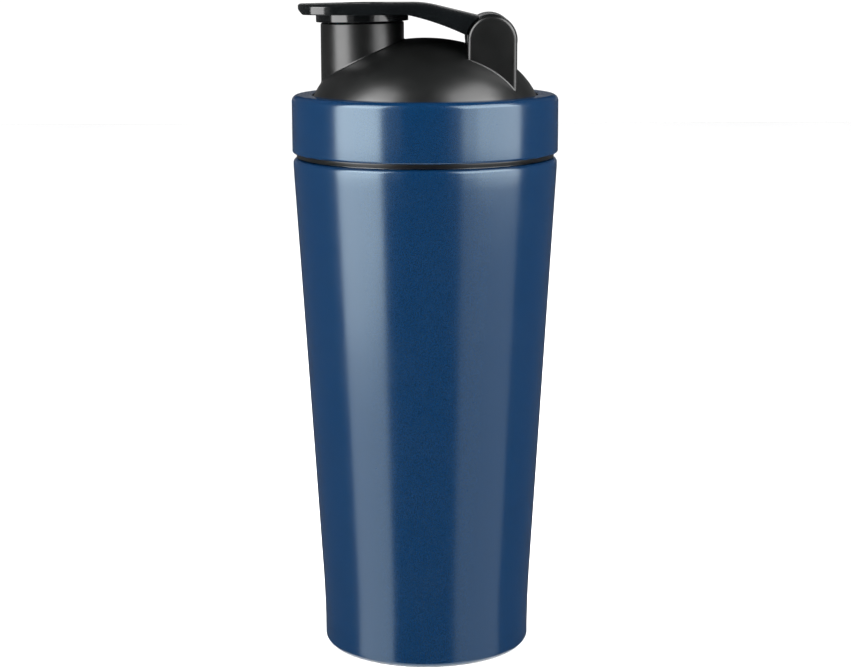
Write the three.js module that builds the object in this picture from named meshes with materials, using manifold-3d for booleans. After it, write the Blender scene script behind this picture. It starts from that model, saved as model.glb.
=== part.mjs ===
// Protein shaker bottle: a double-walled steel cup with a threaded neck, a plastic
// screw lid inside a steel collar, a flip cap over the drinking spout, and a loose
// wire whisk ball. Millimetres, +Z up, origin at the centre of the standing face.

import * as THREE from 'three';
import { mergeVertices } from 'three/addons/utils/BufferGeometryUtils.js';
import Module from 'manifold-3d';

const wasm = await Module();
wasm.setup();

// ---------------------------------------------------------------- driving dimensions

// Cup
const collarRadius = 45;          // outside of the collar, the widest part of the bottle
const cupHeight = 169.7;          // standing face to the top of the shoulder
const footRadius = 35.55;         // outer wall just above the foot
const cupInset = 0.32;            // cup's greatest radius inside the collar's
const steelWall = 0.8;            // thickness of every steel wall
const vacuumGap = 1.6;            // space between the outer wall and the liner
const footCorner = 1.8;           // radius of the corner at the foot
const footEase = 22;              // height over which the wall turns from upright to conical
const shoulderCorner = 1.5;       // radius of the corner at the shoulder
const shoulderBand = 3.5;         // upright band that the cone runs into, corner included
const standWidth = 2.7;           // width of the flat ring the cup stands on
const baseRecess = 1.2;           // base disc above the standing face
const floorGap = 3;               // base disc to the liner's floor
const linerCorner = 6;            // radius of the liner's floor corner
const neckFlare = 4;              // height in which the liner widens below the neck

// Thread between neck and lid
const threadHeight = 1.2;         // ridge height
const threadBase = 2.34;          // ridge width at its root
const threadCrest = 1;            // ridge width at its crest
const threadSink = 0.4;           // depth of the ridge's root in its wall
const threadPitch = 4;            // distance between neighbouring ridges
const threadStarts = 2;
const neckTurns = 0.9;            // length of each ridge on the neck
const lidTurns = 0.6;             // length of each ridge in the lid
const threadLift = 4.4;           // middle of the neck's lowest ridge above the shoulder
const threadClearance = 0.45;     // crest to the opposite wall

// Collar and lid
const collarHeight = 19.4;        // collar's lower edge to its top lip
const collarCorner = 1.5;         // radius of the collar's top corner
const collarHem = 0.75;           // radius of the collar's lower edge
const skirtShow = 1.5;            // lid skirt showing below the collar
const skirtWall = 1.85;           // skirt thickness
const deckThickness = 1.7;        // flat part of the lid under the collar's lip
const deckChamfer = 0.8;
const ribWall = 1.6;              // sealing rib inside the neck
const ribDepth = 4;               // sealing rib below the lid's ceiling
const gasketThickness = 1.4;
const domeInset = 2.5;            // dome's ellipse inside the skirt's inner wall
const domeSink = 7.6;             // middle of the dome's ellipse below the deck
const domeRise = 27.5;            // half height of the dome's ellipse
const domeWall = 2;
const gap = 0.3;                  // between pieces that rest against each other
const lipGap = 0.35;              // between the collar's lip and the dome
const collarGap = 0.4;            // between the collar's wall and the skirt

// Spout
const spoutRadius = 14;
const spoutWall = 2;
const spoutInset = 4.45;          // spout's outer wall inside the dome's edge
const spoutStand = 5.28;          // mouth above the top of the dome
const mouthTilt = THREE.MathUtils.degToRad(1.05);  // mouth rises towards the hinge

// Hinge
const earRadius = 8.15;
const earThickness = 3;
const earInset = 2.658;           // ears' outer corners inside the dome's edge
const hingeDrop = 0.2;            // hinge axis below the top of the dome
const knuckleWidth = 35.4;
const knuckleProud = 0.2;         // knuckle's radius over the ears'
const hingeGap = 0.3;             // knuckle to each ear
const troughGap = 0.4;            // knuckle to the trough under it
const troughWall = 1.6;
const pinRadius = 1.5;
const pinClearance = 0.3;
const blindDepth = 2;             // depth of the pin's hole in the front ear

// Flip cap
const discOverhang = 1.5;         // disc beyond the spout's outer wall
const discThickness = 2.47;
const strapHeight = 3.85;
const plateOverhang = 0.5;        // top plate over the side webs
const plateThickness = 1.1;
const plateEnd = 4.1;             // end of the top plate before the hinge axis
const plateEndRise = 7.7;         // top of the plate there, above the hinge axis
const webWall = 2;
const tabReach = 5.6;             // thumb tab's tip beyond the disc
const tabCorner = 14;             // radius of the tab's corners in plan
const tabDrop = 0.45;             // tab's tip below the top of the cap
const tabChamfer = 1.9;           // under the tab's tip
const bendStart = 5.34;           // bend of the strap beyond the disc
const bendReach = 4.1;            // half length of the bend, at most half of the straight arm
const earCut = 0.6;               // strap's cut-out round the ears, over their radius
const webRise = 1.8;              // lower edge of the web above the hinge axis
const webBow = 6.2;               // middle of the curve of that edge, above the hinge axis
const webBowShift = 0.6;
const dishRadius = 9;             // shallow dish on top of the cap
const dishDepth = 0.7;
const dishBow = 50;               // radius of the dish's spherical floor
const bossRadius = 7;             // boss that holds the plug
const bossWall = 1.5;
const plugDepth = 3.5;
const plugClearance = 0.4;        // plug to the bore, at the mouth
const plugTaper = 0.7;            // plug's loss of radius over its depth

// Whisk ball
const ballRadius = 22;            // middle of the wire
const wireRadius = 1.25;
const ballTurns = 5;
const poleAngle = 0.2;            // wire's ends, from the poles

// Facets
const ringFacets = 48;
const tubeFacets = 32;
const pinFacets = 16;
const arcSteps = 3;
const domeSteps = 8;

// ---------------------------------------------------------------- derived sizes

const skirtRadius = collarRadius - steelWall - collarGap;
const skirtInner = skirtRadius - skirtWall;
const neckRadius = skirtInner - threadClearance - threadHeight;
const neckInner = neckRadius - steelWall;
const cupRadius = collarRadius - cupInset;
const ribRadius = neckInner - 1.3;
const ribInner = ribRadius - ribWall;
const domeRadius = skirtInner - domeInset;

const skirtBottom = cupHeight + gap;
const collarBottom = skirtBottom + skirtShow;
const collarTop = collarBottom + collarHeight;
const lipBottom = collarTop - steelWall;
const deckTop = lipBottom - gap;
const ceiling = deckTop - deckThickness;
const gasketTop = ceiling - gap;
const rimTop = gasketTop - gasketThickness - gap;
const threadLead = threadPitch * threadStarts;

const domeMiddle = deckTop - domeSink;
const domeTop = domeMiddle + domeRise;
const domeRadiusAt = (z) => domeRadius * Math.sqrt(1 - ((z - domeMiddle) / domeRise) ** 2);
const lipRadius = domeRadiusAt(lipBottom) + lipGap;
const spoutX = -(domeRadius - spoutInset - spoutRadius);
const mouthZ = domeTop + spoutStand;
const boreRadius = spoutRadius - spoutWall;
const earInner = knuckleWidth / 2 + hingeGap;
const earOuter = earInner + earThickness;
const hingeX = Math.sqrt((domeRadius - earInset) ** 2 - earOuter ** 2) - earRadius;
const hingeZ = domeTop - hingeDrop;
const knuckleRadius = earRadius + knuckleProud;
const troughRadius = knuckleRadius + troughGap;
const strapHalf = earOuter;
const discRadius = spoutRadius + discOverhang;
const strapBottom = mouthZ + gap + discThickness;
const strapTop = strapBottom + strapHeight;

const linerFloor = baseRecess + steelWall + floorGap;
const flareTop = cupHeight - steelWall - gap;
const flareLow = flareTop - neckFlare;
const ballRest = linerFloor + steelWall + gap + wireRadius + ballRadius;

// ---------------------------------------------------------------- materials

const paintedSteel = new THREE.MeshStandardMaterial({ color: '#214a78', roughness: 0.32, metalness: 0.35 });
const brushedSteel = new THREE.MeshStandardMaterial({ color: '#b9bcbf', roughness: 0.35, metalness: 1 });
const satinPlastic = new THREE.MeshStandardMaterial({ color: '#1d1e1f', roughness: 0.42, metalness: 0 });
const glossPlastic = new THREE.MeshStandardMaterial({ color: '#191b1c', roughness: 0.25, metalness: 0 });
const silicone = new THREE.MeshStandardMaterial({ color: '#c9cccc', roughness: 0.6, metalness: 0 });

// ---------------------------------------------------------------- geometry helpers

// A closed geometry as a manifold solid: merged corners, and no triangle without area.
function solid(geometry) {
  const bare = geometry.clone();
  bare.deleteAttribute('normal');
  bare.deleteAttribute('uv');
  const merged = mergeVertices(bare);
  const triangles = [];
  for (let i = 0; i < merged.index.count; i += 3) {
    const corners = [0, 1, 2].map((k) => merged.index.getX(i + k));
    if (new Set(corners).size === 3) triangles.push(...corners);
  }
  return new wasm.Manifold(new wasm.Mesh({
    numProp: 3,
    vertProperties: new Float32Array(merged.attributes.position.array),
    triVerts: new Uint32Array(triangles),
  }));
}

function piece(name, shape, material) {
  const { vertProperties, triVerts } = shape.getMesh();
  const geometry = new THREE.BufferGeometry();
  geometry.setAttribute('position', new THREE.BufferAttribute(vertProperties, 3));
  geometry.setIndex(new THREE.BufferAttribute(triVerts, 1));
  geometry.computeVertexNormals();
  const mesh = new THREE.Mesh(geometry, material);
  mesh.name = name;
  return mesh;
}

// A solid turned about Z from a profile of [radius, height] points, outer side going up.
function turned(points, facets = ringFacets) {
  const profile = points.map(([radius, height]) => new THREE.Vector2(radius, height));
  return solid(new THREE.LatheGeometry(profile, facets).rotateX(Math.PI / 2));
}

function turnedRing(points, facets = ringFacets) {
  return turned([...points, points[0]], facets);
}

// Points of an ellipse's arc between two angles in degrees.
function arc(middle, radii, from, to, steps = arcSteps) {
  const curve = new THREE.EllipseCurve(...middle, ...radii,
    THREE.MathUtils.degToRad(from), THREE.MathUtils.degToRad(to), to < from);
  return curve.getPoints(steps).map((p) => [p.x, p.y]);
}

function upright(radius, low, high, x = 0, facets = tubeFacets) {
  const geometry = new THREE.CylinderGeometry(radius, radius, high - low, facets).rotateX(Math.PI / 2);
  return solid(geometry.translate(x, 0, (low + high) / 2));
}

// A round bar along Y, on the hinge axis.
function onHinge(radius, low, high, facets = tubeFacets) {
  const geometry = new THREE.CylinderGeometry(radius, radius, high - low, facets);
  return solid(geometry.translate(hingeX, (low + high) / 2, hingeZ));
}

// An outline in the XZ plane, given thickness between two values of Y.
function slab(outline, low, high, curveSegments = 12) {
  const settings = { depth: high - low, bevelEnabled: false, curveSegments };
  const geometry = new THREE.ExtrudeGeometry(outline, settings).rotateX(Math.PI / 2);
  return solid(geometry.translate(0, high, 0));
}

function block(xs, ys, zs) {
  const geometry = new THREE.BoxGeometry(xs[1] - xs[0], ys[1] - ys[0], zs[1] - zs[0]);
  return solid(geometry.translate((xs[0] + xs[1]) / 2, (ys[0] + ys[1]) / 2, (zs[0] + zs[1]) / 2));
}

// The spout's mouth: origin at its centre, tilted about Y.
const mouthFrame = new THREE.Matrix4().makeRotationY(-mouthTilt).setPosition(spoutX, 0, mouthZ);

function atMouth(shape) {
  return shape.transform(mouthFrame.elements);
}

// A helix about Z whose section stays square to the wall that the ridge stands on.
class ThreadPath extends THREE.Curve {
  constructor(radius, low, turns, startAngle) {
    super();
    Object.assign(this, { radius, low, turns, startAngle });
  }

  angle(t) {
    return this.startAngle + 2 * Math.PI * this.turns * t;
  }

  getPoint(t) {
    const angle = this.angle(t);
    const height = this.low + threadLead * this.turns * t;
    return new THREE.Vector3(this.radius * Math.cos(angle), this.radius * Math.sin(angle), height);
  }

  getPointAt(t) {
    return this.getPoint(t);
  }

  computeFrenetFrames(segments) {
    const frames = { tangents: [], normals: [], binormals: [] };
    for (let i = 0; i <= segments; i += 1) {
      const angle = this.angle(i / segments);
      frames.tangents.push(new THREE.Vector3(-Math.sin(angle), Math.cos(angle), 0));
      frames.normals.push(new THREE.Vector3(Math.cos(angle), Math.sin(angle), 0));
      frames.binormals.push(new THREE.Vector3(0, 0, -1));
    }
    return frames;
  }
}

// Thread ridges on a wall; side is 1 where they stand outwards and -1 where inwards.
function threadRidges(wallRadius, side, low, turns) {
  const halfRoot = threadBase / 2;
  const halfCrest = threadCrest / 2;
  const section = new THREE.Shape([
    new THREE.Vector2(-side * threadSink, -halfRoot),
    new THREE.Vector2(side * threadHeight, -halfCrest),
    new THREE.Vector2(side * threadHeight, halfCrest),
    new THREE.Vector2(-side * threadSink, halfRoot),
  ]);
  const ridges = [];
  for (let start = 0; start < threadStarts; start += 1) {
    const startAngle = (2 * Math.PI * start) / threadStarts;
    const extrudePath = new ThreadPath(wallRadius, low, turns, startAngle);
    const steps = Math.round(ringFacets * turns);
    ridges.push(solid(new THREE.ExtrudeGeometry(section, { steps, extrudePath })));
  }
  return ridges;
}

function joined(shapes) {
  return shapes.reduce((whole, shape) => whole.add(shape));
}

// ---------------------------------------------------------------- cup

const coneLow = footCorner + footEase;
const coneTop = cupHeight - shoulderBand;
const coneSlope = (cupRadius - footRadius) / (footEase / 2 + coneTop - coneLow);

// Outer radius of the cup: upright at the foot, then a cone up to the shoulder's band.
function cupRadiusAt(z) {
  if (z > coneLow) return cupRadius - coneSlope * Math.max(coneTop - z, 0);
  const rise = Math.max(z - footCorner, 0);
  return footRadius + (coneSlope * rise * rise) / (2 * footEase);
}

// Points of the cup's side between two heights, moved inwards by inset.
function cupSide(inset, low, high) {
  const bends = [1 / 3, 2 / 3, 1].map((share) => footCorner + share * footEase);
  const heights = [low, ...[...bends, coneTop].filter((z) => z > low + 1 && z < high - 1), high];
  return heights.map((z) => [cupRadiusAt(z) - inset, z]);
}

function cupOuterShell() {
  const standInner = footRadius - footCorner - standWidth;
  const shoulderInner = neckRadius + gap;
  const innerCorner = Math.max(shoulderCorner - steelWall, 0.2);
  const footMiddle = [footRadius - footCorner, footCorner];
  const shoulderMiddle = [cupRadius - shoulderCorner, cupHeight - shoulderCorner];
  return turnedRing([
    [standInner, 0],
    ...arc(footMiddle, [footCorner, footCorner], -90, 0),
    ...cupSide(0, footCorner, cupHeight - shoulderCorner).slice(1, -1),
    ...arc(shoulderMiddle, [shoulderCorner, shoulderCorner], 0, 90),
    [shoulderInner, cupHeight],
    [shoulderInner, cupHeight - steelWall],
    ...arc(shoulderMiddle, [innerCorner, innerCorner], 90, 0, 2),
    ...cupSide(steelWall, footCorner, cupHeight - shoulderCorner).slice(1, -1).reverse(),
    [footRadius - steelWall, footCorner],
    [footRadius - footCorner, steelWall],
    [standInner, steelWall],
  ]);
}

// Floor corner and side of one face of the liner, from the axis up to the flare.
function linerFace(inset, floor, corner) {
  const side = cupSide(inset, floor + corner, flareLow);
  const middle = [side[0][0] - corner, floor + corner];
  return [[0, floor], ...arc(middle, [corner, corner], -90, 0).slice(0, -1), ...side];
}

function cupLiner() {
  const inset = steelWall + vacuumGap;
  const wall = turned([
    ...linerFace(inset, linerFloor, linerCorner),
    [neckRadius, flareTop],
    [neckRadius, rimTop - steelWall / 2],
    [neckRadius - steelWall / 3, rimTop],
    [neckInner + steelWall / 3, rimTop],
    [neckInner, rimTop - steelWall / 2],
    [neckInner, flareTop],
    ...linerFace(inset + steelWall, linerFloor + steelWall, linerCorner - steelWall).reverse(),
  ]);
  return joined([wall, ...threadRidges(neckRadius, 1, cupHeight + threadLift, neckTurns)]);
}

function baseDisc() {
  const radius = footRadius - footCorner - standWidth - gap;
  return upright(radius, baseRecess, baseRecess + steelWall, 0, ringFacets);
}

// ---------------------------------------------------------------- collar and lid

function collarRing() {
  const innerCorner = collarCorner - steelWall;
  const cornerMiddle = [collarRadius - collarCorner, collarTop - collarCorner];
  const wallInner = collarRadius - steelWall;
  return turnedRing([
    [wallInner, collarBottom],
    ...arc([collarRadius - collarHem, collarBottom + collarHem], [collarHem, collarHem], -90, 0),
    ...arc(cornerMiddle, [collarCorner, collarCorner], 0, 90),
    [lipRadius, collarTop],
    [lipRadius, lipBottom],
    ...arc(cornerMiddle, [innerCorner, innerCorner], 90, 0, 2),
  ]);
}

// Points of a face of the dome, from the radius given up to the axis.
function domeFace(wall, radius) {
  const radii = [domeRadius - wall, domeRise - wall];
  const from = THREE.MathUtils.radToDeg(Math.acos(radius / radii[0]));
  return arc([0, domeMiddle], radii, from, 90, domeSteps);
}

function lidOutside() {
  return turned([
    [0, skirtBottom],
    [skirtRadius, skirtBottom],
    [skirtRadius, deckTop - deckChamfer],
    [skirtRadius - deckChamfer, deckTop],
    ...domeFace(0, domeRadiusAt(deckTop)),
  ]);
}

function lidHollow() {
  const below = skirtBottom - 1;
  return turned([
    [0, below],
    [skirtInner, below],
    [skirtInner, ceiling],
    [ribRadius, ceiling],
    [ribRadius, ceiling - ribDepth],
    [ribInner, ceiling - ribDepth],
    ...domeFace(domeWall, ribInner),
  ]);
}

// Both ears: arches that run down into the dome.
function ears() {
  const arch = new THREE.Shape();
  arch.moveTo(hingeX - earRadius, domeMiddle);
  arch.lineTo(hingeX + earRadius, domeMiddle);
  arch.lineTo(hingeX + earRadius, hingeZ);
  arch.absarc(hingeX, hingeZ, earRadius, 0, Math.PI);
  return slab(arch, -earOuter, -earInner).add(slab(arch, earInner, earOuter));
}

function lidShell() {
  const outside = lidOutside();
  const trough = onHinge(troughRadius + troughWall, -earOuter, earOuter).intersect(outside);
  const pinHole = onHinge(pinRadius + pinClearance, -earInner - blindDepth, earOuter + 1, pinFacets);
  const aboveMouth = block([-2 * spoutRadius, 2 * spoutRadius], [-2 * spoutRadius, 2 * spoutRadius], [0, 9]);
  const spoutLow = domeMiddle;
  return joined([outside, upright(spoutRadius, spoutLow, mouthZ + 2, spoutX), ears()])
    .subtract(lidHollow())
    .add(trough)
    .subtract(onHinge(troughRadius, -earInner, earInner))
    .subtract(upright(boreRadius, spoutLow - 1, mouthZ + 3, spoutX))
    .subtract(atMouth(aboveMouth))
    .subtract(pinHole)
    .add(joined(threadRidges(skirtInner, -1, cupHeight + threadLift - threadPitch / 2, lidTurns)));
}

function lidGasket() {
  const inner = ribRadius + gap;
  const outer = skirtInner - 2 * gap;
  return turnedRing([
    [inner, gasketTop - gasketThickness],
    [outer, gasketTop - gasketThickness],
    [outer, gasketTop],
    [inner, gasketTop],
  ]);
}

function hingePin() {
  return onHinge(pinRadius, gap - earInner - blindDepth, earOuter - gap, pinFacets);
}

// ---------------------------------------------------------------- flip cap

// Height of the strap's straight upper line, from the bend down to the knuckle.
function strapLine(x) {
  const bendX = spoutX + discRadius + bendStart;
  const slope = (hingeZ + plateEndRise - strapTop) / (hingeX - plateEnd - bendX);
  return strapTop + slope * (x - bendX);
}

// Side view of the strap: thumb tab, flat top, bend, and a web that deepens towards the hinge.
function strapOutline() {
  const tipX = spoutX - discRadius - tabReach;
  const bendX = spoutX + discRadius + bendStart;
  const reach = Math.min(bendReach, (hingeX - plateEnd - bendX) / 2);
  const rootX = hingeX - earRadius - earCut;
  const webEndX = spoutX + discRadius;
  const webRootZ = hingeZ + webRise;
  const outline = new THREE.Shape();
  outline.moveTo(tipX + tabChamfer, strapBottom);
  outline.lineTo(webEndX, strapBottom);
  outline.quadraticCurveTo((webEndX + rootX) / 2 - webBowShift, hingeZ + webBow, rootX, webRootZ);
  outline.lineTo(hingeX, hingeZ);
  outline.lineTo(hingeX - plateEnd, strapLine(hingeX - plateEnd));
  outline.lineTo(bendX + reach, strapLine(bendX + reach));
  outline.quadraticCurveTo(bendX, strapTop, bendX - reach, strapTop);
  outline.lineTo(spoutX, strapTop);
  outline.lineTo(tipX, strapTop - tabDrop);
  outline.lineTo(tipX, strapBottom + tabChamfer);
  return outline;
}

// Plan view of the strap, with the tab's rounded corners.
function strapPlan(half) {
  const tipX = spoutX - discRadius - tabReach;
  const plan = new THREE.Shape();
  plan.moveTo(hingeX, half);
  plan.lineTo(tipX + tabCorner, half);
  plan.absarc(tipX + tabCorner, half - tabCorner, tabCorner, Math.PI / 2, Math.PI);
  plan.absarc(tipX + tabCorner, tabCorner - half, tabCorner, Math.PI, 1.5 * Math.PI);
  plan.lineTo(hingeX, -half);
  const geometry = new THREE.ExtrudeGeometry(plan, {
    depth: strapTop - hingeZ + 9, bevelEnabled: false, curveSegments: 5,
  });
  return solid(geometry.translate(0, 0, hingeZ - 5));
}

// Space under the arm, between the side webs and clear of the disc and the ears.
function strapChannel() {
  const low = hingeZ - 9;
  const nearX = spoutX + discRadius + webWall;
  const farX = hingeX - earRadius - earCut - webWall;
  const outline = new THREE.Shape();
  outline.moveTo(spoutX, low);
  outline.lineTo(hingeX - plateEnd, low);
  outline.lineTo(hingeX - plateEnd, strapLine(hingeX - plateEnd) - webWall);
  outline.lineTo(spoutX + discRadius + bendStart, strapTop - webWall);
  outline.lineTo(spoutX, strapTop - webWall);
  const half = strapHalf - plateOverhang - webWall;
  return slab(outline, -half, half).trimByPlane([1, 0, 0], nearX).trimByPlane([-1, 0, 0], -farX);
}

function topDish() {
  const depth = dishDepth;
  const sphere = new THREE.SphereGeometry(dishBow, tubeFacets, 200);
  const cutter = solid(sphere.rotateX(Math.PI / 2).translate(spoutX, 0, strapTop + dishBow - depth));
  return cutter.intersect(upright(dishRadius, strapTop - 2 * depth, strapTop + 2, spoutX));
}

function flipCap() {
  const outline = strapOutline();
  const webHalf = strapHalf - plateOverhang;
  const web = slab(outline, -webHalf, webHalf).intersect(strapPlan(webHalf));
  const plateOnly = slab(outline, -strapHalf, strapHalf).intersect(strapPlan(strapHalf));
  const underPlate = plateOnly.translate([0, 0, -plateThickness]);
  const plate = plateOnly.subtract(underPlate);
  const earRoom = onHinge(earRadius + earCut, -strapHalf - 1, strapHalf + 1)
    .subtract(onHinge(earRadius + earCut + 1, -knuckleWidth / 2, knuckleWidth / 2));
  const disc = atMouth(upright(discRadius, gap, gap + discThickness + 1, 0, tubeFacets));
  const boss = atMouth(upright(bossRadius, gap - plugDepth, gap + 1));
  const bossBore = atMouth(upright(bossRadius - bossWall, -2 * plugDepth, gap + discThickness));
  return joined([web, plate])
    .subtract(strapChannel())
    .subtract(earRoom)
    .add(onHinge(knuckleRadius, -knuckleWidth / 2, knuckleWidth / 2))
    .add(disc)
    .add(boss)
    .subtract(bossBore)
    .subtract(topDish())
    .subtract(onHinge(pinRadius + pinClearance, -knuckleWidth, knuckleWidth, pinFacets));
}

function spoutPlug() {
  const top = boreRadius - plugClearance;
  const inner = bossRadius + gap;
  return atMouth(turnedRing([
    [inner, gap - plugDepth],
    [top - plugTaper, gap - plugDepth],
    [top, 0],
    [inner, 0],
  ], tubeFacets));
}

// ---------------------------------------------------------------- whisk ball

// A wire wound as a spiral over a sphere, from pole to pole.
class BallPath extends THREE.Curve {
  getPoint(t) {
    const polar = Math.PI - poleAngle - (Math.PI - 2 * poleAngle) * t;
    const turn = 2 * Math.PI * ballTurns * t;
    const point = new THREE.Vector3().setFromSphericalCoords(ballRadius, polar, turn);
    return new THREE.Vector3(point.x, -point.z, point.y + ballRest);
  }
}

function whiskBall() {
  const section = new THREE.Shape();
  section.absarc(0, 0, wireRadius, 0, 2 * Math.PI);
  const settings = { steps: 20 * ballTurns, curveSegments: 3, extrudePath: new BallPath() };
  return solid(new THREE.ExtrudeGeometry(section, settings));
}

// ---------------------------------------------------------------- assembly

const cup = new THREE.Group();
cup.add(piece('cup_outer_shell', cupOuterShell(), paintedSteel));
cup.add(piece('cup_liner', cupLiner(), brushedSteel));
cup.add(piece('base_disc', baseDisc(), paintedSteel));

const lid = new THREE.Group();
lid.add(piece('collar_ring', collarRing(), paintedSteel));
lid.add(piece('lid_shell', lidShell(), satinPlastic));
lid.add(piece('lid_gasket', lidGasket(), silicone));
lid.add(piece('hinge_pin', hingePin(), brushedSteel));

const cap = new THREE.Group();
cap.add(piece('flip_cap', flipCap(), glossPlastic));
cap.add(piece('spout_plug', spoutPlug(), silicone));

const shaker = new THREE.Group();
shaker.add(cup, lid, cap, piece('whisk_ball', whiskBall(), brushedSteel));

export default shaker;
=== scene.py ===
import math

import bmesh
import bpy
from mathutils import Matrix, Vector


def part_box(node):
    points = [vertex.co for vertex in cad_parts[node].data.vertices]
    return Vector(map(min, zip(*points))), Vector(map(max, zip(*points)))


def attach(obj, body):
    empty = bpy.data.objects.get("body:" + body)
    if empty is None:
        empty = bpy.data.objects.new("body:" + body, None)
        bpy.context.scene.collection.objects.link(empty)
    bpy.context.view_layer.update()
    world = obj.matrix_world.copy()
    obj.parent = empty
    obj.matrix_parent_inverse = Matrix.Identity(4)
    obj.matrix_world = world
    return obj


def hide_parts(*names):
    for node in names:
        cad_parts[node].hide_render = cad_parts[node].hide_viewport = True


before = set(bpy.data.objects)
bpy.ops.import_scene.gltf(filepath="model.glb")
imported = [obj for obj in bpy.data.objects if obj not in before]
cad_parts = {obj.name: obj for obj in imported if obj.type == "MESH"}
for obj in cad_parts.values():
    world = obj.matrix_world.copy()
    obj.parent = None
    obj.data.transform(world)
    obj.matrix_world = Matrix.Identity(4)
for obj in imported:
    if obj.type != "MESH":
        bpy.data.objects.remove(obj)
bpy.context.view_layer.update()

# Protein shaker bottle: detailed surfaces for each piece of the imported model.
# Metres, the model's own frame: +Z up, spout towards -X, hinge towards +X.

MM = 0.001

# ------------------------------------------------------------------ sizes

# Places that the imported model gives.
COLLAR_LOW, COLLAR_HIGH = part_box("collar_ring")
CUP_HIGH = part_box("cup_outer_shell")[1]
LINER_LOW, LINER_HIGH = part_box("cup_liner")
DISC_LOW, DISC_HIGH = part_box("base_disc")
LID_LOW, LID_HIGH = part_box("lid_shell")
GASKET_LOW, GASKET_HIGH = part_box("lid_gasket")
PIN_LOW, PIN_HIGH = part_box("hinge_pin")
CAP_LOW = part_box("flip_cap")[0]
BALL_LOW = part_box("whisk_ball")[0]

COLLAR_R = COLLAR_HIGH[0]
CUP_R = CUP_HIGH[0]
SHOULDER_Z = CUP_HIGH[2]
SKIRT_R = LID_HIGH[1]
SKIRT_Z = LID_LOW[2]
COLLAR_Z0 = COLLAR_LOW[2]
COLLAR_Z1 = COLLAR_HIGH[2]
HINGE = Vector(((PIN_LOW[0] + PIN_HIGH[0]) / 2, 0, (PIN_LOW[2] + PIN_HIGH[2]) / 2))

# Edges and cuts
CRISP = 0.2 * MM  # radius of a crisp edge
SOFT = 0.3 * MM  # radius of a soft edge
SINK = 0.02 * MM  # how far a fillet's thin edge lies inside the wall
SPARE = 1 * MM  # how far a body that cuts or joins runs past the face that it meets

# Cup
STEEL = 0.8 * MM
GAP = 0.3 * MM
VACUUM = 1.6 * MM
FOOT_R = CUP_R - 9.13 * MM
FOOT_CORNER = 1.8 * MM
FOOT_EASE = 22 * MM
STAND_WIDTH = 2.7 * MM
SHOULDER_CORNER = 1.5 * MM
SHOULDER_BAND = 3.5 * MM
SIDE_START = 0.6 * MM
SIDE_END = 0.4 * MM
STAND_EDGE = 0.25 * MM
BASE_STEP = 0.35 * MM
BASE_STEP_ROUND = 1 * MM
LINER_CORNER = 6 * MM
FLARE = 4 * MM
FLARE_ROUND = 1.2 * MM
RIM_ROUND = 0.38 * MM

# Collar and lid
COLLAR_CORNER = 2.1 * MM
COLLAR_HEM = 0.75 * MM
COLLAR_HEM_INNER = 0.15 * MM
DOME_RISE = 27.5 * MM
DOME_SINK = 7.6 * MM
DOME_WALL = 2 * MM
SKIRT_EASE = 0.3 * MM
SKIRT_EASE_RISE = 1.1 * MM
SKIRT_EASE_EDGE = 0.1 * MM
DECK_CHAMFER = 0.8 * MM
CEILING_CORNER = 0.4 * MM
SKIRT_INNER = SKIRT_R - 1.85 * MM
NECK_R = SKIRT_INNER - 1.65 * MM
NECK_INNER = NECK_R - STEEL
DOME_R = SKIRT_INNER - 2.5 * MM
DECK_Z = COLLAR_Z1 - STEEL - GAP
CEILING_Z = DECK_Z - 1.7 * MM
RIB_R = NECK_INNER - 1.3 * MM
RIB_INNER = RIB_R - 1.6 * MM
RIB_DEPTH = 4 * MM
DOME_Z = DECK_Z - DOME_SINK
DOME_TOP = DOME_Z + DOME_RISE
LIP_R = DOME_R * math.sqrt(1 - ((DOME_SINK + GAP) / DOME_RISE) ** 2) + 0.35 * MM

# Thread
THREAD_HEIGHT = 1.2 * MM
THREAD_ROOT = 2.34 * MM
THREAD_CREST = 1 * MM
THREAD_FLARE = 0.15 * MM
THREAD_FOOT_ROUND = 0.3 * MM
THREAD_TOP_ROUND = 0.35 * MM
THREAD_EMBED = 0.4 * MM
THREAD_TAPER = 14  # a ridge has its full height within 1/14 of its length
THREAD_LEAD = 8 * MM
THREAD_LIFT = 4.4 * MM
NECK_TURNS = 0.9
LID_TURNS = 0.6

# Spout, ears and cap
SPOUT_R = 14 * MM
SPOUT_WALL = 2 * MM
BORE_R = SPOUT_R - SPOUT_WALL
SPOUT_X = -(DOME_R - 4.45 * MM - SPOUT_R)
MOUTH_Z = DOME_TOP + 5.28 * MM
MOUTH_TILT = math.radians(1.05)
MOUTH_ROUND = 0.5 * MM
SPOUT_FILLET = 0.55 * MM
SPOUT_EMBED = 0.3 * MM
SPOUT_EMBED_DEPTH = 1.2 * MM
EAR_R = 8.15 * MM
EAR_IN = 18 * MM
EAR_OUT = 21 * MM
EAR_FILLET = 1.3 * MM
EAR_FOOT_Z = DOME_Z + 2 * MM
EAR_SINK = 0.9 * MM  # how far the ears reach into the dome
BEAD_HALF = EAR_R - 0.9 * MM
BEAD = 0.5 * MM
BEAD_DEPTH = 0.3 * MM
KNUCKLE_R = EAR_R + 0.2 * MM
KNUCKLE_HALF = 17.7 * MM
TROUGH_R = KNUCKLE_R + 0.4 * MM
TROUGH_WALL = 1.6 * MM
PIN_R = 1.5 * MM
PIN_HOLE_R = 1.8 * MM
PIN_CHAMFER = 0.3 * MM
GASKET_ROUND = 0.45 * MM
DISC_R = SPOUT_R + 1.5 * MM
DISC_H = 2.47 * MM
STRAP_H = 3.85 * MM
STRAP_TOP = MOUTH_Z + GAP + DISC_H + STRAP_H
STRAP_BOTTOM = STRAP_TOP - STRAP_H
TIP_X = CAP_LOW[0]

# Whisk ball
WIRE_R = 1.25 * MM
WHISK_R = 22 * MM
WHISK_TURNS = 5
WHISK_POLE = 0.2  # radians between the axis and each end of the wire

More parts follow.
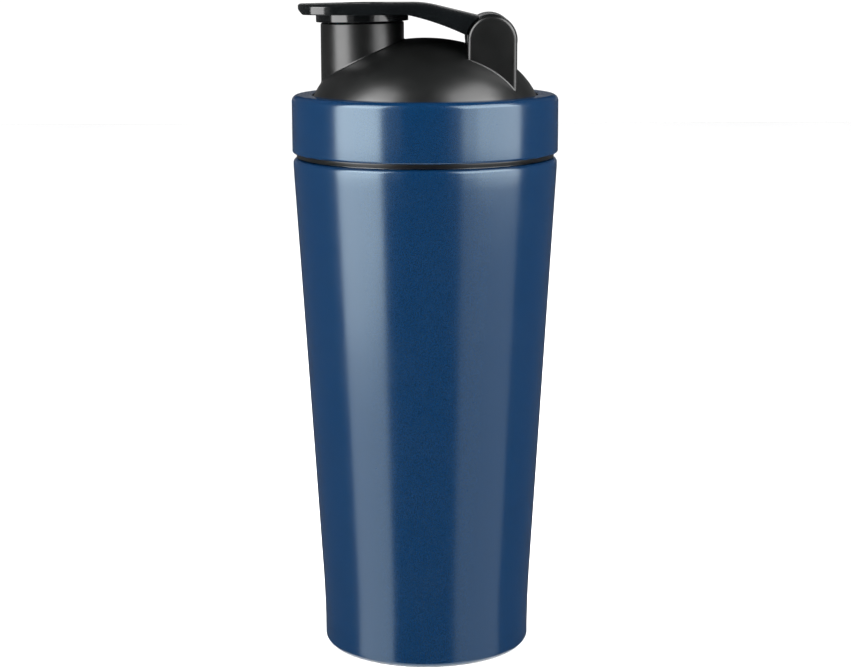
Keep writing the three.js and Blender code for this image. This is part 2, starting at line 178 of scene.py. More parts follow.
# Meshes
SEGMENTS = 192  # round a lathed piece
FINE = 8  # steps in a rounded corner
SHARP = math.radians(32)  # an edge with a larger angle between its faces stays sharp

# ------------------------------------------------------------------ mesh helpers


def even(first, last, count):
    """Numbers from first to last in a count of equal steps."""
    return [first + (last - first) * k / count for k in range(count + 1)]


def curve(start, corner, end, t):
    """Part t of the way along a curve from start to end that leans towards a corner."""
    return (1 - t) ** 2 * start + 2 * t * (1 - t) * corner + t * t * end


def as_object(name, bm, sharp=SHARP):
    """A finished object from a bmesh: smooth, with edges kept sharp above an angle."""
    bmesh.ops.recalc_face_normals(bm, faces=bm.faces)
    mesh = bpy.data.meshes.new(name)
    bm.to_mesh(mesh)
    bm.free()
    piece = bpy.data.objects.new(name, mesh)
    bpy.context.collection.objects.link(piece)
    soften(piece, sharp)
    return piece


def soften(piece, sharp=SHARP):
    """Smooth shading, with edges kept sharp above an angle."""
    piece.data.polygons.foreach_set("use_smooth", [True] * len(piece.data.polygons))
    piece.data.set_sharp_from_angle(angle=sharp)


def rounded(corners, steps=FINE, closed=True):
    """Outline of (a, b, radius) corners, each with a radius turned into an arc."""
    points = []
    count = len(corners)
    for i, (a, b, radius) in enumerate(corners):
        here = Vector((a, b))
        before = Vector(corners[i - 1][:2])
        after = Vector(corners[(i + 1) % count][:2])
        if radius <= 0 or (not closed and i in (0, count - 1)):
            points.append((a, b))
            continue
        back = (before - here).normalized()
        ahead = (after - here).normalized()
        half = back.angle(ahead) / 2
        reach = radius / math.tan(half)
        middle = here + (back + ahead).normalized() * (radius / math.sin(half))
        start = here + back * reach - middle
        turn = (math.pi - 2 * half) * (1 if back.cross(ahead) < 0 else -1)
        for k in range(steps + 1):
            angle = turn * k / steps
            spun = Matrix.Rotation(angle, 2) @ start
            points.append((middle + spun)[:])
    return points


def add_lathe(bm, outline, segments=SEGMENTS, place=None, closed=True):
    """Turns an outline of (radius, height) about Z; points on the axis become poles."""
    rings = []
    for radius, height in outline:
        if radius < 1e-7:
            rings.append([bm.verts.new((0, 0, height))])
            continue
        ring = []
        for k in range(segments):
            angle = 2 * math.pi * k / segments
            ring.append(bm.verts.new((radius * math.cos(angle), radius * math.sin(angle), height)))
        rings.append(ring)
    pairs = list(zip(rings, rings[1:]))
    if closed:
        pairs.append((rings[-1], rings[0]))
    for low, high in pairs:
        if len(low) == 1 and len(high) == 1:
            continue
        for k in range(segments):
            n = (k + 1) % segments
            if len(low) == 1:
                bm.faces.new((low[0], high[n], high[k]))
            elif len(high) == 1:
                bm.faces.new((low[k], low[n], high[0]))
            else:
                bm.faces.new((low[k], low[n], high[n], high[k]))
    if place is not None:
        verts = [v for ring in rings for v in ring]
        bmesh.ops.transform(bm, matrix=place, verts=verts)


def lathe(name, outline, segments=SEGMENTS, place=None):
    """A closed round piece from an outline of (radius, height)."""
    bm = bmesh.new()
    add_lathe(bm, outline, segments, place)
    return as_object(name, bm)


def cylinder(radius, low, high):
    return [(0, low), (radius, low), (radius, high), (0, high)]


def stud(radius, low, high, edge):
    """Outline of a cylinder with its lower edge rounded."""
    corners = [(0, low, 0), (radius, low, edge), (radius, high, 0), (0, high, 0)]
    return rounded(corners, closed=False)


def loft(bm, sections):
    """Joins closed sections of equal point count into one closed body."""
    rings = [[bm.verts.new(p) for p in section] for section in sections]
    for low, high in zip(rings, rings[1:]):
        for k in range(len(low)):
            n = (k + 1) % len(low)
            bm.faces.new((low[k], low[n], high[n], high[k]))
    bm.faces.new(rings[0][::-1])
    bm.faces.new(rings[-1])


def cut(piece, other, operation="DIFFERENCE"):
    """Applies a boolean between two closed objects and removes the second."""
    modifier = piece.modifiers.new("cut", "BOOLEAN")
    modifier.operation = operation
    modifier.object = other
    modifier.solver = "EXACT"
    depsgraph = bpy.context.evaluated_depsgraph_get()
    mesh = bpy.data.meshes.new_from_object(piece.evaluated_get(depsgraph))
    piece.modifiers.clear()
    old = piece.data
    piece.data = mesh
    bpy.data.meshes.remove(old)
    bpy.data.objects.remove(other)
    return piece


def dome_z(radius, wall=0.0):
    """Height of a face of the dome at a radius from the bottle's axis."""
    return DOME_Z + (DOME_RISE - wall) * math.sqrt(max(0.0, 1 - (radius / (DOME_R - wall)) ** 2))


def cup_radius(z):
    """Outer radius of the cup: upright at the foot, then a cone up to the shoulder."""
    cone_low = FOOT_CORNER + FOOT_EASE
    cone_top = SHOULDER_Z - SHOULDER_BAND
    slope = (CUP_R - FOOT_R) / (FOOT_EASE / 2 + cone_top - cone_low)
    if z > cone_low:
        return CUP_R - slope * max(cone_top - z, 0)
    rise = max(z - FOOT_CORNER, 0)
    return FOOT_R + slope * rise * rise / (2 * FOOT_EASE)


def mouth_matrix():
    """The spout's mouth: origin at its centre, tilted so that it rises towards the hinge."""
    return Matrix.Translation((SPOUT_X, 0, MOUTH_Z)) @ Matrix.Rotation(-MOUTH_TILT, 4, "Y")


# ------------------------------------------------------------------ materials


BUMP_DEPTH = 0.1 * MM


def new_material(name):
    """A new material with its nodes, its links and its main shader."""
    material = bpy.data.materials.new(name)
    material.use_nodes = True
    nodes = material.node_tree.nodes
    return material, nodes, material.node_tree.links, nodes["Principled BSDF"]


def noise(nodes, links, scale, detail=3.0, stretch=None):
    """Noise in the object's own coordinates; scale counts features per metre."""
    coords = nodes.new("ShaderNodeTexCoord")
    texture = nodes.new("ShaderNodeTexNoise")
    texture.inputs["Scale"].default_value = scale
    texture.inputs["Detail"].default_value = detail
    source = coords.outputs["Object"]
    if stretch:
        mapping = nodes.new("ShaderNodeMapping")
        mapping.inputs["Scale"].default_value = stretch
        links.new(source, mapping.inputs["Vector"])
        source = mapping.outputs["Vector"]
    links.new(source, texture.inputs["Vector"])
    return texture.outputs["Fac"]


def ramp(nodes, links, source, low, high):
    """A colour that goes from low to high as the source goes from 0.35 to 0.65."""
    ramp_node = nodes.new("ShaderNodeValToRGB")
    elements = ramp_node.color_ramp.elements
    elements[0].position = 0.35
    elements[0].color = (*low, 1)
    elements[1].position = 0.65
    elements[1].color = (*high, 1)
    links.new(source, ramp_node.inputs["Fac"])
    return ramp_node.outputs["Color"]


def spread(nodes, links, source, low, high):
    """A number that goes from low to high as the source goes from 0.3 to 0.7."""
    remap = nodes.new("ShaderNodeMapRange")
    remap.inputs["From Min"].default_value = 0.3
    remap.inputs["From Max"].default_value = 0.7
    remap.inputs["To Min"].default_value = low
    remap.inputs["To Max"].default_value = high
    links.new(source, remap.inputs["Value"])
    return remap.outputs["Result"]


def bump(nodes, links, height, shader, strength):
    """Fine relief on the shader's surface."""
    node = nodes.new("ShaderNodeBump")
    node.inputs["Strength"].default_value = strength
    node.inputs["Distance"].default_value = BUMP_DEPTH
    links.new(height, node.inputs["Height"])
    links.new(node.outputs["Normal"], shader.inputs["Normal"])


def painted_steel():
    """Deep blue gloss paint with a faint fleck."""
    material, nodes, links, shader = new_material("painted_steel")
    fleck = noise(nodes, links, 2600, 2)
    tone = ramp(nodes, links, fleck, (0.0007, 0.0116, 0.0365), (0.0010, 0.0134, 0.0412))
    links.new(tone, shader.inputs["Base Color"])
    links.new(spread(nodes, links, noise(nodes, links, 55), 0.17, 0.21), shader.inputs["Roughness"])
    shader.inputs["Specular IOR Level"].default_value = 0.7
    shader.inputs["Specular Tint"].default_value = (0.73, 0.91, 1.0, 1)
    bump(nodes, links, noise(nodes, links, 900, 1), shader, 0.03)
    return material


def black_plastic(name, tone, roughness, grain):
    """Moulded plastic: a tone that varies slightly, and a fine grain."""
    material, nodes, links, shader = new_material(name)
    low = tuple(c * 0.85 for c in tone)
    high = tuple(c * 1.2 for c in tone)
    links.new(ramp(nodes, links, noise(nodes, links, 120), low, high), shader.inputs["Base Color"])
    sheen = spread(nodes, links, noise(nodes, links, 160), roughness - 0.03, roughness + 0.03)
    links.new(sheen, shader.inputs["Roughness"])
    bump(nodes, links, noise(nodes, links, 3200, 2), shader, grain)
    return material


def brushed_steel():
    """Stainless steel turned on a lathe: fine lines round the axis."""
    material, nodes, links, shader = new_material("bare_steel")
    lines = noise(nodes, links, 1, 4, stretch=(60, 60, 6000))
    tone = ramp(nodes, links, lines, (0.50, 0.51, 0.52), (0.62, 0.63, 0.64))
    links.new(tone, shader.inputs["Base Color"])
    links.new(spread(nodes, links, lines, 0.24, 0.38), shader.inputs["Roughness"])
    shader.inputs["Metallic"].default_value = 1.0
    bump(nodes, links, lines, shader, 0.05)
    return material


def silicone():
    """Soft, slightly cloudy pale rubber."""
    material, nodes, links, shader = new_material("silicone")
    tone = ramp(nodes, links, noise(nodes, links, 90), (0.50, 0.52, 0.52), (0.58, 0.60, 0.60))
    links.new(tone, shader.inputs["Base Color"])
    links.new(spread(nodes, links, noise(nodes, links, 300), 0.45, 0.55), shader.inputs["Roughness"])
    shader.inputs["Subsurface Weight"].default_value = 0.15
    shader.inputs["Subsurface Scale"].default_value = 2 * MM
    bump(nodes, links, noise(nodes, links, 2500, 2), shader, 0.04)
    return material


PAINT = painted_steel()
LID_BLACK = black_plastic("lid_plastic", (0.0026, 0.0028, 0.0028), 0.31, 0.05)
CAP_BLACK = black_plastic("cap_plastic", (0.0022, 0.0027, 0.0030), 0.13, 0.01)
BARE = brushed_steel()
SILICONE = silicone()


def finish_piece(piece, material, slot, body, *nodes):
    """Gives a piece its material and its body, and hides the CAD nodes that it stands for."""
    piece.data.materials.clear()
    piece.data.materials.append(material)
    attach(piece, body)
    if nodes:
        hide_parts(*nodes)
    return piece


# ------------------------------------------------------------------ cup


def cup_outer_shell():
    """Foot, tapered side and shoulder as one sheet, turned in under the foot and round the neck."""
    stand_inner = FOOT_R - FOOT_CORNER - STAND_WIDTH
    side = even(FOOT_CORNER + SIDE_START, SHOULDER_Z - SHOULDER_BAND + SIDE_END, 40)
    corners = [(stand_inner, 0, STAND_EDGE), (FOOT_R, 0, FOOT_CORNER)]
    corners += [(cup_radius(z), z, 0) for z in side]
    corners += [
        (CUP_R, SHOULDER_Z, SHOULDER_CORNER),
        (NECK_R + GAP, SHOULDER_Z, CRISP),
        (NECK_R + GAP, SHOULDER_Z - STEEL, 0),
        (CUP_R - STEEL, SHOULDER_Z - STEEL, SHOULDER_CORNER - STEEL),
    ]
    corners += [(cup_radius(z) - STEEL, z, 0) for z in side[::-8]]
    corners += [(FOOT_R - STEEL, STEEL, FOOT_CORNER - STEEL), (stand_inner, STEEL, CRISP)]
    piece = lathe("cup_shell", rounded(corners))
    return finish_piece(piece, PAINT, "painted_steel", "cup", "cup_outer_shell")


def base_disc():
    """Disc under the cup, with a shallow step up towards its middle."""
    radius, low, high = DISC_HIGH[0], DISC_LOW[2], DISC_HIGH[2]
    outline = rounded([
        (0, low + BASE_STEP, 0), (radius * 0.55, low + BASE_STEP, BASE_STEP_ROUND),
        (radius * 0.6, low, BASE_STEP_ROUND), (radius, low, CRISP), (radius, high, CRISP), (0, high, 0),
    ], closed=False)
    piece = lathe("cup_base", outline, 128)
    return finish_piece(piece, PAINT, "painted_steel", "cup", "base_disc")


def add_ridge(bm, wall_radius, side, low, turns, start_angle):
    """A helical thread ridge that grows out of the wall and runs back into it."""
    steps = int(160 * turns)
    root, crest = THREAD_ROOT / 2, THREAD_CREST / 2
    flank = root - THREAD_FLARE
    sections = []
    for k in range(steps + 1):
        t = k / steps
        angle = start_angle + 2 * math.pi * turns * t
        height = low + THREAD_LEAD * turns * t
        grow = min(1.0, THREAD_TAPER * min(t, 1 - t) + 0.02)
        top = THREAD_HEIGHT * grow
        foot_round, top_round = THREAD_FOOT_ROUND * grow, THREAD_TOP_ROUND * grow
        section = rounded([
            (-THREAD_EMBED, -root, 0), (0, -flank, foot_round), (top, -crest, top_round),
            (top, crest, top_round), (0, flank, foot_round), (-THREAD_EMBED, root, 0),
        ], steps=3)
        ring = []
        for out, up in section:
            radius = wall_radius + side * out
            ring.append((radius * math.cos(angle), radius * math.sin(angle), height + up))
        sections.append(ring)
    loft(bm, sections)


def add_threads(bm, wall_radius, side, low, turns):
    """Two equal ridges, one for each start of the thread."""
    for start_angle in (0, math.pi):
        add_ridge(bm, wall_radius, side, low, turns, start_angle)


def cup_liner():
    """Inner wall with its own floor, a flare in to the neck, and the neck's thread."""
    inset = STEEL + VACUUM
    floor_z, rim_z = LINER_LOW[2], LINER_HIGH[2]
    flare_top = SHOULDER_Z - STEEL - GAP
    heights = even(floor_z + LINER_CORNER + 1 * MM, flare_top - FLARE, 20)
    outer = [(cup_radius(z) - inset, z, 0) for z in heights]
    inner = [(cup_radius(z) - (inset + STEEL), z, 0) for z in heights]
    corners = [(0, floor_z, 0), (outer[0][0], floor_z, LINER_CORNER)] + outer
    corners += [
        (NECK_R, flare_top, FLARE_ROUND), (NECK_R, rim_z, RIM_ROUND), (NECK_INNER, rim_z, RIM_ROUND),
        (NECK_INNER, flare_top, FLARE_ROUND),
    ]
    corners += inner[::-1]
    corners += [(inner[0][0], floor_z + STEEL, LINER_CORNER - STEEL), (0, floor_z + STEEL, 0)]
    bm = bmesh.new()
    add_lathe(bm, rounded(corners, closed=False), closed=False)
    add_threads(bm, NECK_R, 1, SHOULDER_Z + THREAD_LIFT, NECK_TURNS)
    piece = as_object("cup_liner_neck", bm)
    return finish_piece(piece, BARE, "bare_steel", "cup", "cup_liner")


# ------------------------------------------------------------------ collar and lid


def collar_ring():
    """Steel band round the lid, with a rounded hem and a flat lip over the deck."""
    wall = COLLAR_R - STEEL
    lip_low = COLLAR_Z1 - STEEL
    outline = rounded([
        (wall, COLLAR_Z0, COLLAR_HEM_INNER), (COLLAR_R, COLLAR_Z0, COLLAR_HEM),
        (COLLAR_R, COLLAR_Z1, COLLAR_CORNER), (LIP_R, COLLAR_Z1, SOFT), (LIP_R, lip_low, CRISP),
        (wall, lip_low, COLLAR_CORNER - STEEL),
    ])
    piece = lathe("collar", outline, 256)
    return finish_piece(piece, PAINT, "painted_steel", "lid", "collar_ring")


def dome_points(radius, rise, first_angle, steps):
    """Corners without rounding up an ellipse over the dome's base, ending on the axis."""
    points = []
    for k in range(steps + 1):
        angle = first_angle + (math.pi / 2 - first_angle) * k / steps
        across = radius * math.cos(angle) if k < steps else 0
        points.append((across, DOME_Z + rise * math.sin(angle), 0))
    return points


def lid_profile_outside():
    """Outline of the skirt, the deck and the dome as a solid body."""
    corners = [
        (0, SKIRT_Z, 0), (SKIRT_R - SKIRT_EASE, SKIRT_Z, CRISP),
        (SKIRT_R, SKIRT_Z + SKIRT_EASE_RISE, SKIRT_EASE_EDGE), (SKIRT_R, DECK_Z - DECK_CHAMFER, 0),
        (SKIRT_R - DECK_CHAMFER, DECK_Z, 0),
    ]
    corners += dome_points(DOME_R, DOME_RISE, math.asin(DOME_SINK / DOME_RISE), 56)
    return rounded(corners, steps=4, closed=False)


def lid_profile_hollow():
    """Outline of the room inside the skirt and the dome; it leaves the sealing rib standing."""
    below = SKIRT_Z - 2 * SPARE
    wall_r = DOME_R - DOME_WALL
    rib_low = CEILING_Z - RIB_DEPTH
    corners = [
        (0, below, 0), (SKIRT_INNER, below, 0), (SKIRT_INNER, CEILING_Z, CEILING_CORNER),
        (RIB_R, CEILING_Z, 0), (RIB_R, rib_low, SOFT), (RIB_INNER, rib_low, SOFT),
    ]
    corners += dome_points(wall_r, DOME_RISE - DOME_WALL, math.acos(RIB_INNER / wall_r), 28)
    return rounded(corners, steps=4, closed=False)


def along_hinge(name, radius, low, high, segments=96):
    """A cylinder on the hinge axis."""
    return lathe(name, cylinder(radius, low, high), segments, on_hinge_axis())


def lid_body():
    """Skirt and dome with the trough under the knuckle and the hole under the spout."""
    shell = lathe("lid_moulding", lid_profile_outside(), 256)
    trough_half = EAR_OUT - 0.2 * MM
    trough = along_hinge("trough", TROUGH_R + TROUGH_WALL, -trough_half, trough_half)
    cut(trough, lathe("inside", lid_profile_outside(), 128), "INTERSECT")
    cut(shell, lathe("hollow", lid_profile_hollow(), 192))
    cut(shell, trough, "UNION")
    cut(shell, along_hinge("room", TROUGH_R, -EAR_IN, EAR_IN))
    bore = cylinder(BORE_R, DOME_Z - 3 * SPARE, MOUTH_Z)
    cut(shell, lathe("bore", bore, 96, Matrix.Translation((SPOUT_X, 0, 0))))
    soften(shell)
    return finish_piece(shell, LID_BLACK, "lid_plastic", "lid", "lid_shell")


def lid_threads():
    """The lid's own ridges, which lie between the neck's."""
    bm = bmesh.new()
    low = SHOULDER_Z + THREAD_LIFT - THREAD_LEAD / 4
    add_threads(bm, SKIRT_INNER, -1, low, LID_TURNS)
    piece = as_object("lid_thread", bm)
    return finish_piece(piece, LID_BLACK, "lid_plastic", "lid")


def mouth_edge(mouth):
    """Points over the mouth's rounded edge, from the spout's outside to its bore."""
    turns = even(0, math.pi / 2, 4)
    arc = [(MOUTH_ROUND * (1 - math.cos(b)), mouth - MOUTH_ROUND * (1 - math.sin(b))) for b in turns]
    outside = [(SPOUT_R - across, z) for across, z in arc]
    inside = [(BORE_R + across, z) for across, z in reversed(arc)]
    return outside + inside


def spout_section(cos, sin):
    """The spout's wall in one direction: (radius, height) from the bore's foot out and up."""

    def dome_at(radius):
        return dome_z(math.hypot(SPOUT_X + radius * cos, radius * sin))

    foot = dome_at(SPOUT_R)
    toe = dome_at(SPOUT_R + SPOUT_FILLET) - SINK
    outline = [(BORE_R, dome_at(BORE_R) - DOME_WALL), (SPOUT_R - SPOUT_EMBED, foot - SPOUT_EMBED_DEPTH)]
    for t in even(0, 1, 5):
        outline.append((SPOUT_R + SPOUT_FILLET * (1 - t) ** 2, curve(toe, foot, foot + SPOUT_FILLET, t)))
    edge = mouth_edge(MOUTH_Z + SPOUT_R * cos * math.tan(MOUTH_TILT))
    # The edge's first point is doubled, so that its shading doesn't run down the straight wall.
    return outline + edge[:1] + edge


def spout():
    """The spout's wall, from a fillet on the dome up to a rounded mouth, with its bore."""
    bm = bmesh.new()
    count = 160
    rings = []
    for k in range(count):
        angle = 2 * math.pi * k / count
        cos, sin = math.cos(angle), math.sin(angle)
        outline = spout_section(cos, sin)
        rings.append([bm.verts.new((SPOUT_X + r * cos, r * sin, z)) for r, z in outline])
    for k in range(count):
        near, far = rings[k], rings[(k + 1) % count]
        for i in range(len(near)):
            n = (i + 1) % len(near)
            bm.faces.new((near[i], far[i], far[n], near[n]))
    piece = as_object("spout_wall", bm)
    return finish_piece(piece, LID_BLACK, "lid_plastic", "lid")


def ear(name, side):
    """A hinge ear: an arch with a rounded rim that runs down into the dome."""
    bm = bmesh.new()
    arch = even(0, math.pi, 40)
    thick = EAR_OUT - EAR_IN
    profile = [(0, 0), (0, thick - EAR_FILLET)]
    for b in even(0, math.pi / 2, 6)[1:]:
        profile.append((EAR_FILLET * (1 - math.cos(b)), thick - EAR_FILLET * (1 - math.sin(b))))
    sections = []
    for inset, out in profile:
        radius, y = EAR_R - inset, side * (EAR_IN + out)
        ring = [(HINGE.x - radius, y, EAR_FOOT_Z)]
        ring += [(HINGE.x - radius * math.cos(a), y, HINGE.z + radius * math.sin(a)) for a in arch]
        ring.append((HINGE.x + radius, y, EAR_FOOT_Z))
        sections.append(ring)
    loft(bm, sections)
    return as_object(name, bm)


def ear_bead(name, side):
    """Small fillet where an ear's outer face runs into the dome."""
    bm = bmesh.new()
    far = EAR_OUT + BEAD
    sections = []
    for x in even(HINGE.x - BEAD_HALF, HINGE.x + BEAD_HALF, 48):
        foot = dome_z(math.hypot(x, EAR_OUT))
        far_z = dome_z(math.hypot(x, far))
        ring = [(EAR_OUT - BEAD_DEPTH, foot - BEAD_DEPTH), (EAR_OUT - 0.05 * MM, foot + BEAD)]
        for t in even(0, 1, 6)[1:-1]:
            ring.append((curve(EAR_OUT, EAR_OUT, far, t), curve(foot + BEAD, foot, far_z - SINK, t)))
        ring += [(far, far_z - 1.5 * SINK), (far, far_z - BEAD_DEPTH)]
        sections.append([(x, side * y, z) for y, z in ring])
    loft(bm, sections)
    return finish_piece(as_object(name, bm), LID_BLACK, "lid_plastic", "lid")


def ears():
    """Two ears with beads; the pin's hole is blind in the front one and open in the back one."""
    ear_bead("ear_bead_front", -1)
    ear_bead("ear_bead_back", 1)
    blind = (-EAR_IN - 2 * MM, -EAR_IN + SPARE)
    through = (EAR_IN - SPARE, EAR_OUT + SPARE)
    for name, side, hole in (("ear_front", -1, blind), ("ear_back", 1, through)):
        piece = ear(name, side)
        cut(piece, along_hinge("pin_hole", PIN_HOLE_R, *hole, 48))
        cut(piece, lathe("inside", [(r, z - EAR_SINK) for r, z in lid_profile_outside()], 128))
        soften(piece)
        finish_piece(piece, LID_BLACK, "lid_plastic", "lid")


def lid_gasket():
    """Silicone ring round the sealing rib."""
    inner, outer = RIB_R + GAP, GASKET_HIGH[0]
    low, high = GASKET_LOW[2], GASKET_HIGH[2]
    square = ((inner, low), (outer, low), (outer, high), (inner, high))
    piece = lathe("gasket", rounded([(radius, z, GASKET_ROUND) for radius, z in square]))
    return finish_piece(piece, SILICONE, "silicone", "lid_seal", "lid_gasket")


def hinge_pin():
    """Steel pin with rounded ends."""
    outline = rounded([
        (0, PIN_LOW[1], 0), (PIN_R, PIN_LOW[1], PIN_CHAMFER), (PIN_R, PIN_HIGH[1], PIN_CHAMFER),
        (0, PIN_HIGH[1], 0),
    ], closed=False)
    piece = lathe("pin", outline, 64, on_hinge_axis())
    return finish_piece(piece, BARE, "bare_steel", "lid", "hinge_pin")


# ------------------------------------------------------------------ flip cap

BEND_X = SPOUT_X + DISC_R + 5.34 * MM
BEND_REACH = 4.1 * MM
WEB_END_X = SPOUT_X + DISC_R
EAR_CUT = 0.6 * MM
ROOT_X = HINGE.x - EAR_R - EAR_CUT
PLATE_END = Vector((HINGE.x - 4.1 * MM, 0, HINGE.z + 7.7 * MM))
TAB_DROP = 0.45 * MM
TAB_CHAMFER = 1.9 * MM
TAB_CORNER = 13 * MM
CROWN = 0.85 * MM
STRAP_HALF = EAR_OUT - 0.25 * MM
STRAP_WALL = 2 * MM
WEB_BEND_Z = HINGE.z + 6.2 * MM
WEB_END_Z = HINGE.z + 1.8 * MM
CHANNEL_LOW_Z = HINGE.z - 9 * MM
ROOT_SINK = 0.6 * MM
CAP_EDGE = 0.4 * MM
BOSS_R = 7 * MM
BOSS_DEPTH = 3.5 * MM
CORE_R = 5.5 * MM
CORE_DEPTH = 8 * MM
DISH_R = 8.3 * MM
DISH_DEPTH = 0.7 * MM
DISH_FLARE = 0.2 * MM
DISC_SEAT = 0.6 * MM
PLUG_INNER = 7.3 * MM
PLUG_R = BORE_R - 0.4 * MM
PLUG_STEP = 0.35 * MM


def strap_line(x):
    """Straight upper line of the arm, from the bend down to the end of the plate."""
    slope = (PLATE_END.z - STRAP_TOP) / (PLATE_END.x - BEND_X)
    return STRAP_TOP + slope * (x - BEND_X)


def strap_top(x):
    """Upper surface: a slight rise from the thumb tab, flat, then the bend and the arm."""
    if x < SPOUT_X:
        return STRAP_TOP - TAB_DROP * (SPOUT_X - x) / (SPOUT_X - TIP_X)
    if x < BEND_X - BEND_REACH:
        return STRAP_TOP
    if x > BEND_X + BEND_REACH:
        return strap_line(x)
    t = (x - BEND_X + BEND_REACH) / (2 * BEND_REACH)
    return (1 - t * t) * STRAP_TOP + t * t * strap_line(BEND_X + BEND_REACH)


def strap_under(x):
    """Lower edge: chamfer under the tab, level over the spout, then the deepening web."""
    if x < TIP_X + TAB_CHAMFER:
        return STRAP_BOTTOM + TIP_X + TAB_CHAMFER - x
    if x < WEB_END_X:
        return STRAP_BOTTOM
    t = min((x - WEB_END_X) / (ROOT_X - WEB_END_X), 1.0)
    return curve(STRAP_BOTTOM, WEB_BEND_Z, WEB_END_Z, t)


def strap_half(x, half):
    """Half width in plan, with the tab's rounded corners."""
    reach = x - TIP_X
    if reach >= TAB_CORNER:
        return half
    return half - TAB_CORNER + math.sqrt(max(0.0, TAB_CORNER ** 2 - (TAB_CORNER - reach) ** 2))


def strap_stations(end):
    """Places along X for the strap's sections, close together where it curves."""
    tab = [TIP_X + TAB_CORNER * (1 - math.cos(a)) for a in even(0, math.pi / 2, 24)]
    return tab + even(TIP_X + TAB_CORNER, end, 56)[1:]


def strap_solid(name, half, low_of, high_of, end):
    """Lofts the strap between two heights, with a crowned top and rounded long edges."""
    bm = bmesh.new()
    sections = []
    stations = strap_stations(end)
    # Two smaller sections in front round the tab's tip.
    insets = [(CAP_EDGE, stations[0]), (CAP_EDGE * 0.3, stations[0] + CAP_EDGE * 0.3)]
    for inset, x in insets + [(0, x) for x in stations[3:]]:
        low, high = low_of(x) + inset, high_of(x) - inset
        width = strap_half(x, half) - inset
        side_top = high - CROWN * (width / EAR_OUT) ** 2
        corner = min(CAP_EDGE, (side_top - low) * 0.4)
        outline = [(-width, low, corner), (width, low, corner), (width, side_top, corner)]
        for k in range(1, 12):
            y = width * (1 - k / 6)
            outline.append((y, high - CROWN * (y / EAR_OUT) ** 2, 0))
        outline.append((-width, side_top, corner))
        sections.append([(x, y, z) for y, z in rounded(outline, 4)])
    loft(bm, sections)
    return as_object(name, bm)


def on_hinge_axis():
    """Turns a lathed outline from Z onto the hinge axis."""
    return Matrix.Translation(HINGE) @ Matrix.Rotation(-math.pi / 2, 4, "X")


def channel():
    """Space under the arm, between the strap's sides."""
    near_x = WEB_END_X + STRAP_WALL
    far_x = ROOT_X - STRAP_WALL
    ceiling = STRAP_TOP - STRAP_WALL
    outline = [
        (near_x, CHANNEL_LOW_Z), (near_x, ceiling), (BEND_X, ceiling),
        (far_x, strap_line(far_x) - STRAP_WALL), (far_x, CHANNEL_LOW_Z),
    ]
    half = STRAP_HALF - STRAP_WALL
    bm = bmesh.new()
    loft(bm, [[(x, y, z) for x, z in outline] for y in (-half, half)])
    return as_object("channel", bm)


def root_under(x):
    """Lower face of the arm's root, slightly above the arm's own."""
    return strap_under(x) + 0.1 * MM


def root_top(x):
    """Upper face of the arm's root, below the arm's crowned top."""
    return strap_top(x) - ROOT_SINK


def knuckle():
    """The round end of the arm that sits between the ears."""
    outline = rounded([
        (0, -KNUCKLE_HALF, 0), (KNUCKLE_R, -KNUCKLE_HALF, CAP_EDGE),
        (KNUCKLE_R, KNUCKLE_HALF, CAP_EDGE), (0, KNUCKLE_HALF, 0),
    ], closed=False)
    return lathe("knuckle", outline, 96, on_hinge_axis())


def flip_cap():
    """Tab, plate, disc, boss, arm and knuckle in one moulding."""
    cap = strap_solid("flip_cap_moulding", STRAP_HALF, strap_under, strap_top, PLATE_END.x)
    root_half = KNUCKLE_HALF - 0.2 * MM
    cut(cap, strap_solid("root", root_half, root_under, root_top, HINGE.x), "UNION")
    cut(cap, channel())
    beyond = EAR_OUT + 2 * SPARE
    for low, high in ((-beyond, -KNUCKLE_HALF), (KNUCKLE_HALF, beyond)):
        cut(cap, along_hinge("ear_room", EAR_R + EAR_CUT, low, high))
    cut(cap, knuckle(), "UNION")
    mouth = mouth_matrix()
    disc_top = GAP + DISC_H
    cut(cap, lathe("disc", stud(DISC_R, GAP, disc_top + DISC_SEAT, CRISP), 160, mouth), "UNION")
    cut(cap, lathe("boss", stud(BOSS_R, GAP - BOSS_DEPTH, GAP + SPARE, SOFT), 96, mouth), "UNION")
    cut(cap, lathe("core", cylinder(CORE_R, -CORE_DEPTH, disc_top), 96, mouth))
    cut(cap, top_dish())
    cut(cap, along_hinge("pin_bore", PIN_HOLE_R, -EAR_OUT, EAR_OUT, 48))
    soften(cap)
    return finish_piece(cap, CAP_BLACK, "cap_plastic", "cap", "flip_cap")


def top_dish():
    """The shallow round hollow in the cap over the spout."""
    above = STRAP_TOP + SPARE
    floor_z = STRAP_TOP - DISH_DEPTH
    outline = [(0, floor_z)]
    outline += [(DISH_R * t, floor_z + DISH_DEPTH * t ** 2) for t in even(0, 1, 10)[1:-1]]
    outline += [(DISH_R, STRAP_TOP), (DISH_R + DISH_FLARE, above), (0, above)]
    return lathe("dish", outline, 128, Matrix.Translation((SPOUT_X, 0, 0)))


def spout_plug():
    """Silicone ring round the boss, stepped in towards its lower edge."""
    low = GAP - BOSS_DEPTH
    outline = rounded([
        (PLUG_INNER, low, SOFT), (PLUG_R - 2 * PLUG_STEP, low, 0.5 * MM),
        (PLUG_R - PLUG_STEP, low * 0.5, 0.4 * MM), (PLUG_R, low * 0.4, SOFT), (PLUG_R, 0, SOFT),
        (PLUG_INNER, 0, SOFT),
    ])
    piece = lathe("plug", outline, 128, mouth_matrix())
    return finish_piece(piece, SILICONE, "silicone", "cap", "spout_plug")


# ------------------------------------------------------------------ whisk ball


